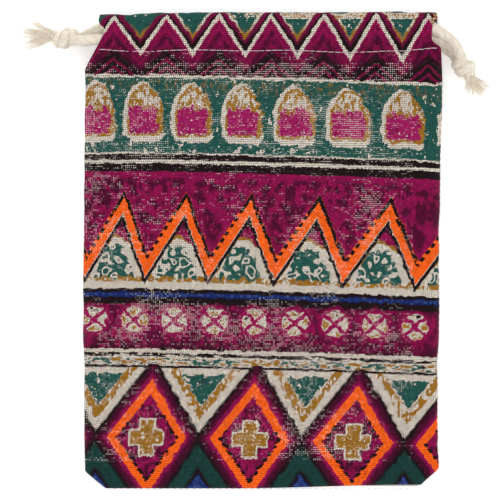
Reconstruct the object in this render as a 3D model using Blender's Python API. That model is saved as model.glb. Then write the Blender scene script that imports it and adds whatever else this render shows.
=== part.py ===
"""Drawstring dice bag: a flat cotton pouch with two opposed cotton drawcords.

The pouch lies on its back. +X runs across it, +Y towards the mouth and +Z away from the
surface that it lies on. Lengths are in metres. The origin is at the middle of the footprint.
"""

import math

import bmesh
import bpy
from mathutils import Vector

# Driving dimensions of the pouch
HALF_LENGTH = 0.0904
CLOTH = 0.0005
GAP = 0.0003
STACK_HEIGHT = 0.016
EDGE_HEIGHT = 0.0014
SEAM_EDGE_HEIGHT = 0.0027
BELLY_HEIGHT = 0.013
BELLY_TOP_Y = 0.040
CASING_Y = 0.0740
STITCH_Y = 0.0756

# Side outlines of the cloth: (y, x) stations, bottom to mouth
LEFT_EDGE = (
    (-0.0904, -0.0595),
    (-0.0840, -0.0676),
    (-0.0120, -0.0686),
    (0.0690, -0.0676),
    (0.0775, -0.0626),
    (0.0904, -0.0620),
)
RIGHT_EDGE = (
    (-0.0904, 0.0600),
    (-0.0840, 0.0668),
    (0.0060, 0.0668),
    (0.0650, 0.0686),
    (0.0775, 0.0680),
    (0.0904, 0.0660),
)

# Height of the front cloth's side edges: (y, z) stations, bottom to mouth
LEFT_EDGE_HEIGHTS = (
    (-0.0904, SEAM_EDGE_HEIGHT),
    (-0.0780, SEAM_EDGE_HEIGHT),
    (-0.0640, EDGE_HEIGHT),
    (0.0480, EDGE_HEIGHT),
    (CASING_Y, STACK_HEIGHT),
)
RIGHT_EDGE_HEIGHTS = (
    (-0.0904, SEAM_EDGE_HEIGHT),
    (0.0480, SEAM_EDGE_HEIGHT),
    (CASING_Y, STACK_HEIGHT),
)

# Drawcord casing
CORD_RADIUS = 0.0021
FOLD_RADIUS = 0.0029
FOLD_Y = HALF_LENGTH - FOLD_RADIUS
BACK_LANE_Z = FOLD_RADIUS
FRONT_LANE_Z = STACK_HEIGHT - FOLD_RADIUS
LOWER_LANE_Y = 0.0802
UPPER_LANE_Y = 0.0854
HEM_BEND_Y = 0.0788
HEM_RAW_EDGE_Y = 0.0730
HEM_PINCH_RISE = 0.0020
HEM_LEFT_END = -0.0420
HEM_RIGHT_END = 0.0456
CASING_LEFT_END = -0.0620
CASING_RIGHT_END = 0.0660

# Seam allowances and sewing thread
ALLOWANCE_THICKNESS = 0.0010
SIDE_ALLOWANCE_WIDTH = 0.0094
BOTTOM_ALLOWANCE_WIDTH = 0.0100
SEAM_LINE_INSET = 0.0010
SIDE_ALLOWANCE_TOP_Y = 0.0660
BOTTOM_ALLOWANCE_ENDS = (-0.0580, 0.0590)
ALLOWANCE_BEVEL = 0.0002
THREAD_RADIUS = 0.0002
CASING_STITCH_INSET = 0.0010
SIDE_STITCH_ENDS = (-0.0800, 0.0640)
BOTTOM_STITCH_REACH = 0.0575

# Drawcord routes, points chosen by hand
LEFT_DRAWCORD_ROUTE = (
    (-0.0634, 0.0802, 0.0127),
    (-0.0600, LOWER_LANE_Y, FRONT_LANE_Z),
    (-0.0450, LOWER_LANE_Y, FRONT_LANE_Z),
    (-0.0150, LOWER_LANE_Y, FRONT_LANE_Z),
    (0.0150, LOWER_LANE_Y, FRONT_LANE_Z),
    (0.0380, LOWER_LANE_Y, FRONT_LANE_Z),
    (0.0505, LOWER_LANE_Y, FRONT_LANE_Z),
    (0.0546, 0.0810, 0.0116),
    (0.0563, 0.0828, 0.0080),
    (0.0546, 0.0846, 0.0044),
    (0.0505, UPPER_LANE_Y, BACK_LANE_Z),
    (0.0380, UPPER_LANE_Y, BACK_LANE_Z),
    (0.0150, UPPER_LANE_Y, BACK_LANE_Z),
    (-0.0150, UPPER_LANE_Y, BACK_LANE_Z),
    (-0.0450, UPPER_LANE_Y, BACK_LANE_Z),
    (-0.0590, UPPER_LANE_Y, BACK_LANE_Z),
    (-0.0634, 0.0839, 0.0029),
)
LEFT_FRONT_TAIL_ROUTE = (
    (-0.0668, 0.0800, 0.0103),
    (-0.0680, 0.0799, 0.0091),
    (-0.0698, 0.0802, 0.0073),
)
LEFT_BACK_TAIL_ROUTE = (
    (-0.0668, 0.0824, 0.0029),
    (-0.0682, 0.0815, 0.0027),
    (-0.0698, 0.0809, 0.0026),
)
RIGHT_DRAWCORD_ROUTE = (
    (0.0636, 0.0850, 0.0127),
    (0.0600, UPPER_LANE_Y, FRONT_LANE_Z),
    (0.0450, UPPER_LANE_Y, FRONT_LANE_Z),
    (0.0150, UPPER_LANE_Y, FRONT_LANE_Z),
    (-0.0150, UPPER_LANE_Y, FRONT_LANE_Z),
    (-0.0350, UPPER_LANE_Y, FRONT_LANE_Z),
    (-0.0470, UPPER_LANE_Y, FRONT_LANE_Z),
    (-0.0511, 0.0846, 0.0116),
    (-0.0528, 0.0828, 0.0080),
    (-0.0511, 0.0810, 0.0044),
    (-0.0470, LOWER_LANE_Y, BACK_LANE_Z),
    (-0.0350, LOWER_LANE_Y, BACK_LANE_Z),
    (-0.0150, LOWER_LANE_Y, BACK_LANE_Z),
    (0.0150, LOWER_LANE_Y, BACK_LANE_Z),
    (0.0450, LOWER_LANE_Y, BACK_LANE_Z),
    (0.0590, LOWER_LANE_Y, BACK_LANE_Z),
    (0.0636, 0.0798, 0.0029),
)
RIGHT_FRONT_TAIL_ROUTE = (
    (0.0676, 0.0826, 0.0109),
    (0.0706, 0.0809, 0.0095),
    (0.0731, 0.0783, 0.0082),
    (0.0745, 0.0756, 0.0074),
)
RIGHT_BACK_TAIL_ROUTE = (
    (0.0676, 0.0784, 0.0029),
    (0.0700, 0.0770, 0.0028),
    (0.0720, 0.0756, 0.0027),
    (0.0733, 0.0743, 0.0026),
)
LEFT_SWING_PIVOT = (-0.0668, 0.0812, 0.0066)
RIGHT_SWING_PIVOT = (0.0676, 0.0804, 0.0066)

# Knots and frayed ends: centre, heading in plan and the half sizes of each
LEFT_KNOT_CENTRE = (-0.0750, 0.0810, 0.0043)
RIGHT_KNOT_CENTRE = (0.0768, 0.0699, 0.0043)
LEFT_KNOT_HEADING = math.radians(170)
RIGHT_KNOT_HEADING = math.radians(-60)
KNOT_HALF_SIZES = (0.0049, 0.0042, 0.0041)
LEFT_TASSEL_RINGS = (
    ((-0.0803, 0.0820, 0.0036), 0.0019, 0.0019),
    ((-0.0835, 0.0824, 0.0031), 0.0024, 0.0021),
    ((-0.0880, 0.0824, 0.0024), 0.0040, 0.0020),
    ((-0.0925, 0.0822, 0.0018), 0.0048, 0.0014),
)
RIGHT_TASSEL_RINGS = (
    ((0.0796, 0.0651, 0.0036), 0.0019, 0.0019),
    ((0.0813, 0.0631, 0.0031), 0.0022, 0.0021),
    ((0.0836, 0.0611, 0.0024), 0.0032, 0.0020),
    ((0.0862, 0.0590, 0.0018), 0.0038, 0.0014),
)

# Mesh density
PANEL_COLUMNS = (-1, -0.97, -0.9, -0.78, -0.6, -0.3, 0, 0.3, 0.6, 0.78, 0.9, 0.97, 1)
BODY_ROWS = 18
BODY_TOP_Y = 0.0600
SHOULDER_ROWS = (0.0650, 0.0695, CASING_Y, 0.0775)
FOLD_STEPS = 8
CORD_STEP = 2.4 * CORD_RADIUS
CORD_SMOOTHNESS = 2
THREAD_STEP = 0.009
THREAD_SMOOTHNESS = 1
DOME_ANGLES = (0.25, 0.7, 1.1)
HEM_COLUMNS = (-0.0250, 0.0, 0.0250)
KNOT_RINGS = 10
RING_POINTS = 14

# Colours (linear) and roughness
PRINTED_CLOTH = ((0.34, 0.010, 0.12, 1.0), 0.92)
CLOTH_INSIDE = ((0.60, 0.42, 0.44, 1.0), 0.95)
COTTON_CORD = ((0.80, 0.73, 0.60, 1.0), 0.95)
SEWING_THREAD = ((0.75, 0.62, 0.62, 1.0), 0.70)


def clear_scene():
    for old in list(bpy.data.objects):
        bpy.data.objects.remove(old, do_unlink=True)


def make_material(name, finish):
    colour, roughness = finish
    material = bpy.data.materials.new(name)
    material.use_nodes = True
    shader = material.node_tree.nodes["Principled BSDF"]
    shader.inputs["Base Color"].default_value = colour
    shader.inputs["Roughness"].default_value = roughness
    shader.inputs["Metallic"].default_value = 0.0
    return material


def add_piece(name, data, material, smooth=True):
    """Links a mesh or curve under its node's name."""
    piece = bpy.data.objects.new(name, data)
    data.materials.append(material)
    if smooth and isinstance(data, bpy.types.Mesh):
        data.shade_smooth()
    bpy.context.scene.collection.objects.link(piece)
    return piece


def ease(start, end, at):
    """0 before start, 1 after end and a smooth rise between them."""
    share = min(max((at - start) / (end - start), 0.0), 1.0)
    return share * share * (3 - 2 * share)


def straight_between(stations, at):
    """The value at `at` on straight lines through (place, value) stations."""
    for (place, value), (next_place, next_value) in zip(stations, stations[1:]):
        if at <= next_place:
            share = max((at - place) / (next_place - place), 0.0)
            return value + (next_value - value) * share
    return stations[-1][1]


def eased_between(stations, at):
    """The value at `at` on smooth steps through (place, value) stations."""
    value = stations[0][1]
    for (place, start), (next_place, end) in zip(stations, stations[1:]):
        value += (end - start) * ease(place, next_place, at)
    return value


def belly(y):
    """Height of the front cloth along the pouch's middle line."""
    to_bottom = min(max((BELLY_TOP_Y - y) / (BELLY_TOP_Y + HALF_LENGTH), 0.0), 1.0)
    fullness = (1 - to_bottom**3) ** 0.7
    body = SEAM_EDGE_HEIGHT + (BELLY_HEIGHT - SEAM_EDGE_HEIGHT) * fullness
    return body + (STACK_HEIGHT - body) * ease(BELLY_TOP_Y, CASING_Y, y)


def place_across(share, y):
    """x of a point on row y, where share runs from -1 at the left edge to 1 at the right."""
    left = straight_between(LEFT_EDGE, y)
    right = straight_between(RIGHT_EDGE, y)
    return left + (right - left) * (share + 1) / 2


def front_point(share, y):
    """A point on the outside of the front cloth."""
    heights = LEFT_EDGE_HEIGHTS if share < 0 else RIGHT_EDGE_HEIGHTS
    edge = eased_between(heights, y)
    fullness = (1 - share**4) ** 0.6
    return Vector((place_across(share, y), y, edge + (belly(y) - edge) * fullness))


def back_point(share, y):
    """A point on the inside of the back cloth, which lies flat."""
    return Vector((place_across(share, y), y, CLOTH))


def sheet_mesh(name, columns, rows, place, keep=None, flip=False):
    """A grid of quads, with place(column, row) giving each corner."""
    mesh = bpy.data.meshes.new(name)
    build = bmesh.new()
    corners = [[build.verts.new(place(c, r)) for r in rows] for c in columns]
    for i in range(len(columns) - 1):
        for j in range(len(rows) - 1):
            if keep and not keep(columns[i], columns[i + 1], j):
                continue
            quad = [
                corners[i][j],
                corners[i + 1][j],
                corners[i + 1][j + 1],
                corners[i][j + 1],
            ]
            build.faces.new(reversed(quad) if flip else quad)
    loose = [v for v in build.verts if not v.link_faces]
    bmesh.ops.delete(build, geom=loose, context="VERTS")
    build.to_mesh(mesh)
    build.free()
    return mesh


def thicken(piece, thickness):
    solidify = piece.modifiers.new("cloth", "SOLIDIFY")
    solidify.thickness = thickness
    solidify.offset = -1.0
    solidify.use_even_offset = False
    return piece


def make_panel(name, place, material):
    body = BODY_TOP_Y + HALF_LENGTH
    rows = [body * i / BODY_ROWS - HALF_LENGTH for i in range(BODY_ROWS + 1)]
    rows += [*SHOULDER_ROWS, FOLD_Y - GAP]
    mesh = sheet_mesh(name, PANEL_COLUMNS, rows, place)
    return thicken(add_piece(name, mesh, material), CLOTH)


def hem_section(front):
    """The hem from the mouth's fold to its raw edge, as (y, z) on its outer side."""
    lane = BACK_LANE_Z
    section = []
    for i in range(FOLD_STEPS + 1):
        angle = math.pi * i / FOLD_STEPS
        y = FOLD_Y + FOLD_RADIUS * math.sin(angle)
        section.append((y, lane - FOLD_RADIUS * math.cos(angle)))
    section.append(((FOLD_Y + HEM_BEND_Y) / 2, lane + FOLD_RADIUS))
    section.append((HEM_BEND_Y, lane + FOLD_RADIUS))
    section.append((STITCH_Y, HEM_PINCH_RISE))
    section.append((HEM_RAW_EDGE_Y, HEM_PINCH_RISE))
    if front:
        return [(y, STACK_HEIGHT - z) for y, z in section]
    return section


def make_hem(name, front, material):
    """The turned-in hem that makes the drawcord casing with the panel."""
    section = hem_section(front)
    columns = (CASING_LEFT_END, HEM_LEFT_END, *HEM_COLUMNS, HEM_RIGHT_END, CASING_RIGHT_END)

    def place(x, row):
        y, z = section[row]
        return Vector((x, y, z))

    def keep(x, next_x, row):
        inner_leg = row >= FOLD_STEPS
        return not inner_leg or (x >= HEM_LEFT_END and next_x <= HEM_RIGHT_END)

    mesh = sheet_mesh(name, columns, range(len(section)), place, keep, flip=not front)
    return thicken(add_piece(name, mesh, material), CLOTH)


def make_block(name, low, high, material):
    """A strip of layered cloth between two corners, with softened edges."""
    mesh = bpy.data.meshes.new(name)
    build = bmesh.new()
    bmesh.ops.create_cube(build, size=1.0)
    low = Vector(low)
    high = Vector(high)
    for vertex in build.verts:
        share = vertex.co + Vector((0.5, 0.5, 0.5))
        vertex.co = [a + (b - a) * s for a, b, s in zip(low, high, share)]
    build.to_mesh(mesh)
    build.free()
    piece = add_piece(name, mesh, material, smooth=False)
    soften = piece.modifiers.new("soft_edges", "BEVEL")
    soften.width = ALLOWANCE_BEVEL
    soften.segments = 1
    return piece


def curve_through(points, step):
    """Points about one step apart on a smooth curve through the given ones."""
    knots = [Vector(p) for p in points]
    knots = [2 * knots[0] - knots[1]] + knots + [2 * knots[-1] - knots[-2]]
    path = [knots[1]]
    for before, start, end, after in zip(knots, knots[1:], knots[2:], knots[3:]):
        count = max(1, round((end - start).length / step))
        reach = (end - start).length
        leave = (end - before).normalized() * reach
        arrive = (after - start).normalized() * reach
        for i in range(1, count + 1):
            t = i / count
            path.append(
                start * (2 * t**3 - 3 * t**2 + 1)
                + leave * (t**3 - 2 * t**2 + t)
                + end * (3 * t**2 - 2 * t**3)
                + arrive * (t**3 - t**2)
            )
    return path


def make_tube(name, path, radius, material, smoothness, round_start=False):
    """A cord or thread along a path, with its first end domed where it is to pivot."""
    places = [(point, 1.0) for point in path]
    if round_start:
        back = (path[0] - path[1]).normalized() * radius
        dome = [(path[0] + back * math.cos(a), math.sin(a)) for a in DOME_ANGLES]
        places = dome + places
    curve = bpy.data.curves.new(name, "CURVE")
    curve.dimensions = "3D"
    curve.bevel_depth = radius
    curve.bevel_resolution = smoothness
    curve.use_fill_caps = True
    spline = curve.splines.new("POLY")
    spline.points.add(len(places) - 1)
    for point, (place, share) in zip(spline.points, places):
        point.co = (*place, 1.0)
        point.radius = share
    return add_piece(name, curve, material)


def make_knot(name, centre, heading, material):
    mesh = bpy.data.meshes.new(name)
    build = bmesh.new()
    bmesh.ops.create_uvsphere(build, u_segments=RING_POINTS, v_segments=KNOT_RINGS, radius=1.0)
    along = Vector((math.cos(heading), math.sin(heading), 0.0))
    across = Vector((-along.y, along.x, 0.0))
    length, width, height = KNOT_HALF_SIZES
    for vertex in build.verts:
        x, y, z = vertex.co
        vertex.co = along * (z * length) + across * (x * width) + Vector((0, 0, y * height))
        vertex.co += Vector(centre)
    bmesh.ops.recalc_face_normals(build, faces=build.faces)
    build.to_mesh(mesh)
    build.free()
    return add_piece(name, mesh, material)


def make_tassel(name, rings, material):
    """The frayed end, as the outer shape of its fibres."""
    mesh = bpy.data.meshes.new(name)
    build = bmesh.new()
    along = (Vector(rings[-1][0]) - Vector(rings[0][0])).normalized()
    across = along.cross(Vector((0, 0, 1))).normalized()
    loops = []
    for centre, width, height in rings:
        loop = []
        for i in range(RING_POINTS):
            angle = 2 * math.pi * i / RING_POINTS
            offset = across * (width * math.cos(angle)) + Vector((0, 0, height * math.sin(angle)))
            loop.append(build.verts.new(Vector(centre) + offset))
        loops.append(loop)
    for loop, next_loop in zip(loops, loops[1:]):
        for i in range(RING_POINTS):
            j = (i + 1) % RING_POINTS
            build.faces.new((loop[i], loop[j], next_loop[j], next_loop[i]))
    build.faces.new(loops[0])
    build.faces.new(loops[-1])
    bmesh.ops.recalc_face_normals(build, faces=build.faces)
    build.to_mesh(mesh)
    build.free()
    return add_piece(name, mesh, material)


def add_pivot(name, place, parent=None):
    pivot = bpy.data.objects.new(name, None)
    bpy.context.scene.collection.objects.link(pivot)
    pivot.location = place
    hang_on(pivot, parent)
    return pivot


def hang_on(piece, parent):
    """Parents a piece without moving it."""
    if parent is None:
        return
    bpy.context.view_layer.update()
    piece.parent = parent
    piece.matrix_parent_inverse = parent.matrix_world.inverted()


def make_pouch(cloth, inside, thread):
    make_panel("front_panel", front_point, cloth)
    make_panel("back_panel", back_point, cloth)
    make_hem("front_casing_hem", True, inside)
    make_hem("back_casing_hem", False, inside)
    make_allowances(inside)
    make_stitching(thread)


def make_allowances(inside):
    """The cloth turned inside the pouch along its sewn right side and bottom."""
    low = CLOTH + GAP
    high = low + ALLOWANCE_THICKNESS
    right = straight_between(RIGHT_EDGE, 0.0) - SEAM_LINE_INSET
    bottom = -HALF_LENGTH + SEAM_LINE_INSET
    bottom_top = bottom + BOTTOM_ALLOWANCE_WIDTH
    side_low = (right - SIDE_ALLOWANCE_WIDTH, bottom_top + GAP, low)
    side_high = (right, SIDE_ALLOWANCE_TOP_Y, high)
    make_block("side_seam_allowance", side_low, side_high, inside)
    start, end = BOTTOM_ALLOWANCE_ENDS
    make_block("bottom_seam_allowance", (start, bottom, low), (end, bottom_top, high), inside)


def make_stitching(thread):
    """The casings' stitch lines and the seams, each as one thread."""
    left = CASING_LEFT_END + CASING_STITCH_INSET
    right = CASING_RIGHT_END - CASING_STITCH_INSET
    back_z = CLOTH + GAP + THREAD_RADIUS
    front_z = STACK_HEIGHT - back_z
    side_x = straight_between(RIGHT_EDGE, 0.0) - SEAM_LINE_INSET + GAP + THREAD_RADIUS
    seam_z = CLOTH + GAP + ALLOWANCE_THICKNESS / 2
    side_low, side_high = SIDE_STITCH_ENDS
    bottom_y = -HALF_LENGTH + SEAM_LINE_INSET - GAP - THREAD_RADIUS
    lines = (
        ("front_casing_stitch", (left, STITCH_Y, front_z), (right, STITCH_Y, front_z)),
        ("back_casing_stitch", (left, STITCH_Y, back_z), (right, STITCH_Y, back_z)),
        ("side_seam_stitch", (side_x, side_low, seam_z), (side_x, side_high, seam_z)),
        (
            "bottom_seam_stitch",
            (-BOTTOM_STITCH_REACH, bottom_y, seam_z),
            (BOTTOM_STITCH_REACH, bottom_y, seam_z),
        ),
    )
    for name, start, end in lines:
        path = curve_through((start, end), THREAD_STEP)
        make_tube(name, path, THREAD_RADIUS, thread, THREAD_SMOOTHNESS)


def make_cord(side, loop, front_tail, back_tail, pivot_place, knot, tassel, cotton):
    """A drawcord: the loop in both casings slides, and its knotted tail swings."""
    pull = add_pivot(side + "_pull", loop[0])
    swing = add_pivot(side + "_swing", pivot_place, pull)
    path = curve_through(loop, CORD_STEP)
    hang_on(make_tube(side + "_drawcord", path, CORD_RADIUS, cotton, CORD_SMOOTHNESS), pull)
    for layer, route in (("front", front_tail), ("back", back_tail)):
        name = side + "_tail_" + layer
        path = curve_through(route, CORD_RADIUS)
        tail = make_tube(name, path, CORD_RADIUS, cotton, CORD_SMOOTHNESS, round_start=True)
        hang_on(tail, swing)
    centre, heading = knot
    hang_on(make_knot(side + "_knot", centre, heading, cotton), swing)
    hang_on(make_tassel(side + "_tassel", tassel, cotton), swing)


def main():
    clear_scene()
    cloth = make_material("printed_cloth", PRINTED_CLOTH)
    inside = make_material("cloth_inside", CLOTH_INSIDE)
    cotton = make_material("cotton_cord", COTTON_CORD)
    thread = make_material("sewing_thread", SEWING_THREAD)
    make_pouch(cloth, inside, thread)
    make_cord(
        "left",
        LEFT_DRAWCORD_ROUTE,
        LEFT_FRONT_TAIL_ROUTE,
        LEFT_BACK_TAIL_ROUTE,
        LEFT_SWING_PIVOT,
        (LEFT_KNOT_CENTRE, LEFT_KNOT_HEADING),
        LEFT_TASSEL_RINGS,
        cotton,
    )
    make_cord(
        "right",
        RIGHT_DRAWCORD_ROUTE,
        RIGHT_FRONT_TAIL_ROUTE,
        RIGHT_BACK_TAIL_ROUTE,
        RIGHT_SWING_PIVOT,
        (RIGHT_KNOT_CENTRE, RIGHT_KNOT_HEADING),
        RIGHT_TASSEL_RINGS,
        cotton,
    )


main()
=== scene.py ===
"""The looks of the drawstring dice bag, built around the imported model.

Lengths are in metres. The print is laid out in millimetres on the flat cloth: u runs across it
and v up it, as they do on the front.
"""

import math
import random
from functools import partialmethod

import bmesh
import bpy
import numpy as np
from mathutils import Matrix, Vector, noise


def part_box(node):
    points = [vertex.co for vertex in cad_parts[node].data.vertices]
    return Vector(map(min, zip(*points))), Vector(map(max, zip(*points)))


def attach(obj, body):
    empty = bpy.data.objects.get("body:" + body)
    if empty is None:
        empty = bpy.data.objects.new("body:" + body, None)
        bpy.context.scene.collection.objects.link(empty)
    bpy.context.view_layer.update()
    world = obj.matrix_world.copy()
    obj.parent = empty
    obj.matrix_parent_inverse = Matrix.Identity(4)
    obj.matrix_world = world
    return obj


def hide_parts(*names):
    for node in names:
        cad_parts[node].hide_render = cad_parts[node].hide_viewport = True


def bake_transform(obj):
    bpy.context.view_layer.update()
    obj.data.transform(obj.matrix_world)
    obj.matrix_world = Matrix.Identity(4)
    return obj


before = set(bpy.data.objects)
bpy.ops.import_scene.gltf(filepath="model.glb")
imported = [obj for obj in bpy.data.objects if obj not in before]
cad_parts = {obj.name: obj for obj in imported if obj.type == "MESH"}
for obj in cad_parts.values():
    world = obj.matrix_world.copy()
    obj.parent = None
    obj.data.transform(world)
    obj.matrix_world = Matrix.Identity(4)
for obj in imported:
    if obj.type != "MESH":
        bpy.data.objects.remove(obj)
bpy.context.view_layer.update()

# Sizes that repeat the model's own
CLOTH = 0.0005
HALF_LENGTH = 0.0904
STACK_HEIGHT = 0.016
SEAM_EDGE_HEIGHT = 0.0027
EDGE_HEIGHT = 0.0014
BELLY_HEIGHT = 0.013
BELLY_TOP_Y = 0.040
CASING_Y = 0.0740
STITCH_Y = 0.0756
FOLD_RADIUS = 0.0029
FOLD_Y = HALF_LENGTH - FOLD_RADIUS
HEM_BEND_Y = 0.0788
HEM_RAW_EDGE_Y = 0.0730
HEM_PINCH_RISE = 0.0020
HEM_LEFT_END = -0.0420
HEM_RIGHT_END = 0.0456
LOWER_LANE_Y = 0.0802
UPPER_LANE_Y = 0.0854
ROPE_RADIUS = 0.0021

# Side outlines of the cloth: (y, x) stations, bottom to mouth
LEFT_EDGE = (
    (-0.0904, -0.0595), (-0.0840, -0.0676), (-0.0120, -0.0686), (0.0690, -0.0676),
    (0.0775, -0.0626), (0.0904, -0.0620),
)
RIGHT_EDGE = (
    (-0.0904, 0.0600), (-0.0840, 0.0668), (0.0060, 0.0668), (0.0650, 0.0686), (0.0775, 0.0680),
    (0.0904, 0.0660),
)

# The front's casing is cut back where the cords come out.
FRONT_LEFT_EDGE = LEFT_EDGE[:5] + (
    (0.0795, -0.0616), (0.0815, -0.0608), (0.0848, -0.0600), (0.0856, -0.0602), (0.0866, -0.0616),
    (0.0884, -0.0622), (0.0898, -0.0616), (0.0904, -0.0606),
)
FRONT_RIGHT_EDGE = RIGHT_EDGE[:4] + (
    (0.0765, 0.0680), (0.0778, 0.0672), (0.0790, 0.0650), (0.0804, 0.0643), (0.0850, 0.0643),
    (0.0862, 0.0648), (0.0872, 0.0659), (0.0892, 0.0661), (0.0904, 0.0652),
)

# The two drawcords, as in the model, with their points given one by one. Each route is for
# casing_route. A front tail runs from the knot to the casing and a back tail the other way; the
# ends are where both go on inside the knot. A knot is its middle, heading in degrees, turns and
# half length. A clump of a frayed end is its heading and spread in degrees, its length and its
# share of the fibre.
FRONT_LANE_Z = 0.0131
BACK_LANE_Z = 0.0029
CORDS = {
    "left": {
        "sign": -1,
        "length": 0.267,
        "route": (
            (-0.0634, 0.0802, 0.0127),
            (-0.0600, -0.0450, -0.0150, 0.0150, 0.0380, 0.0505),
            (LOWER_LANE_Y, UPPER_LANE_Y),
            -0.0590,
            (-0.0634, 0.0839, 0.0029),
        ),
        "front_tail": (
            (-0.0698, 0.0802, 0.0073), (-0.0680, 0.0799, 0.0091), (-0.0668, 0.0800, 0.0103),
        ),
        "back_tail": (
            (-0.0668, 0.0824, 0.0029), (-0.0682, 0.0815, 0.0027), (-0.0698, 0.0809, 0.0026),
        ),
        "ends": ((-0.0725, 0.0806, 0.0050), (-0.0725, 0.0811, 0.0038)),
        "knot": ((-0.0750, 0.0810, 0.0043), 170, 2.3, 0.0027),
        "tassel": (-0.0797, 0.0820, 0.0040),
        "clumps": ((160, 7, 0.0140, 0.9), (181, 7, 0.0146, 0.7), (201, 6, 0.0138, 0.8)),
    },
    "right": {
        "sign": 1,
        "length": 0.272,
        "route": (
            (0.0636, 0.0850, 0.0127),
            (0.0600, 0.0450, 0.0150, -0.0150, -0.0350, -0.0470),
            (UPPER_LANE_Y, LOWER_LANE_Y),
            0.0590,
            (0.0636, 0.0798, 0.0029),
        ),
        "front_tail": (
            (0.0745, 0.0756, 0.0074), (0.0731, 0.0783, 0.0082), (0.0706, 0.0809, 0.0095),
            (0.0676, 0.0826, 0.0109),
        ),
        "back_tail": (
            (0.0676, 0.0784, 0.0029), (0.0700, 0.0770, 0.0028), (0.0720, 0.0756, 0.0027),
            (0.0733, 0.0743, 0.0026),
        ),
        "ends": ((0.0757, 0.0726, 0.0058), (0.0749, 0.0716, 0.0038)),
        "knot": ((0.0768, 0.0699, 0.0043), -60, 1.9, 0.0026),
        "tassel": (0.0790, 0.0658, 0.0040),
        "clumps": ((-38, 8, 0.0108, 1.0), (-58, 9, 0.0088, 0.5), (-88, 13, 0.0066, 0.7)),
    },
}
# The ropes' strands and lay, the knots and the bundles of the frayed ends
ROPE_STRANDS = 3
LAY_PITCH = 0.012
ROPE_STEP = 0.0005
KNOT_REACH = 0.0023
KNOT_CORD_RADIUS = 0.0020
KNOT_RINGS = 90
TASSEL_BUNDLES = 9
BUNDLE_FIBRES = 18
BUNDLE_REACH = 0.00042
# Tries at loose fibre ends; a rope has them only where it is outside the casing.
ROPE_FUZZ = 9000
KNOT_FUZZ = 700
CLUMP_FUZZ = 120
FUZZ_FROM_X = 0.0625

# Mesh density
CLOTH_CELL = 0.0010
FOLD_STEPS = 12
HEM_STEPS = 18
ROPE_SIDES = 24
STITCH_RINGS = 7
STITCH_SIDES = 8
ALLOWANCE_COLUMNS = 150
ALLOWANCE_ROWS = 8

# The pouch's sides are sewn up to SLIT_Y. The back's print goes on over the fold at the left.
SLIT_Y = 0.0660
SLIT_TOP_Y = 0.0775
LEFT_FOLD_X = -0.0686
CLOTH_WIDTH = 0.1352
SIDE_ALLOWANCE_X = 0.0570
BOTTOM_ALLOWANCE_Y = -0.0800
CASING_STITCHES_X = (-0.0620, 0.0652)
SIDE_STITCHES_Y = (-0.0815, SLIT_Y - 0.002)
BOTTOM_STITCHES_X = (-0.0570, 0.0570)
CASING_THREAD_RADIUS = 0.00013
SEAM_THREAD_RADIUS = 0.00012

# The slack trial
SIM_COLUMNS = 61
SIM_ROWS = 75
SIM_TOP_Y = 0.0700
SIM_FRAMES = 24
HOLD_SHARE = 0.06
SLACK_CAP = 0.0012
SLACK_CLOTH = {
    "quality": 6,
    "mass": 0.02,
    "tension_stiffness": 12.0,
    "compression_stiffness": 12.0,
    "shear_stiffness": 4.0,
    "bending_stiffness": 0.04,
    "vertex_group_mass": "held",
    "pin_stiffness": 0.6,
    "shrink_min": -0.012,
}

# Camera and light
VIEW_WIDTH = 0.190
VIEW_CENTRE = (-0.0049, 0.0004)
VIEW_PLANE_Z = 0.008
CAMERA_DISTANCE = 2.40
WHITE = (1.0, 1.0, 1.0, 1.0)
WORLD_STRENGTH = 0.84
FLOOR_GLOW = 0.34
FLOOR_REACH = 2.0
LIGHTS = (
    ("key", (-0.5, 0.7, 1.5), 1.2, 5.0),
    ("fill", (0.8, -0.5, 1.3), 1.4, 3.0),
)


# --- Numbers and colours in a material's nodes ---


def ink(red, green, blue):
    """A colour given as 0-255 screen values, as the linear colour that nodes take."""
    return tuple(((c / 255 + 0.055) / 1.055) ** 2.4 for c in (red, green, blue)) + (1.0,)


class Value:
    """A number in a node tree. Plain arithmetic on it adds Math nodes."""

    def __init__(self, tree, socket):
        self.tree = tree
        self.socket = socket

    def math(self, operation, *others):
        node = self.tree.nodes.new("ShaderNodeMath")
        node.operation = operation
        for slot, item in zip(node.inputs, (self, *others)):
            if isinstance(item, Value):
                self.tree.links.new(item.socket, slot)
            else:
                slot.default_value = item
        return Value(self.tree, node.outputs[0])

    __add__ = partialmethod(math, "ADD")
    __sub__ = partialmethod(math, "SUBTRACT")
    __mul__ = partialmethod(math, "MULTIPLY")
    __truediv__ = partialmethod(math, "DIVIDE")
    __abs__ = partialmethod(math, "ABSOLUTE")
    smaller = partialmethod(math, "MINIMUM")
    larger = partialmethod(math, "MAXIMUM")
    over = partialmethod(math, "GREATER_THAN")
    under = partialmethod(math, "LESS_THAN")

    def between(self, low, high):
        return self.over(low) * self.under(high)

    def reversed(self):
        return self.math("MULTIPLY_ADD", -1.0, 1.0)

    def clamped(self):
        return self.smaller(1.0).larger(0.0)

    def faded(self, start, end):
        """0 at start, 1 at end and a straight rise or fall between them."""
        slope = 1 / (end - start)
        node = self.math("MULTIPLY_ADD", slope, -start * slope)
        node.socket.node.use_clamp = True
        return node

    def from_repeat(self, middle, period):
        """The distance past the nearest of the places that repeat every period."""
        return (((self - middle) / period + 0.5).math("FRACT") - 0.5) * period


def mixed(tree, share, first, second):
    """first where share is 0 and second where it is 1; each is a colour or a socket."""
    node = tree.nodes.new("ShaderNodeMix")
    node.data_type = "RGBA"
    if isinstance(share, Value):
        tree.links.new(share.socket, node.inputs["Factor"])
    else:
        node.inputs["Factor"].default_value = share
    for slot, item in ((node.inputs[6], first), (node.inputs[7], second)):
        if isinstance(item, tuple):
            slot.default_value = item
        else:
            tree.links.new(item, slot)
    return node.outputs[2]


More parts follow.
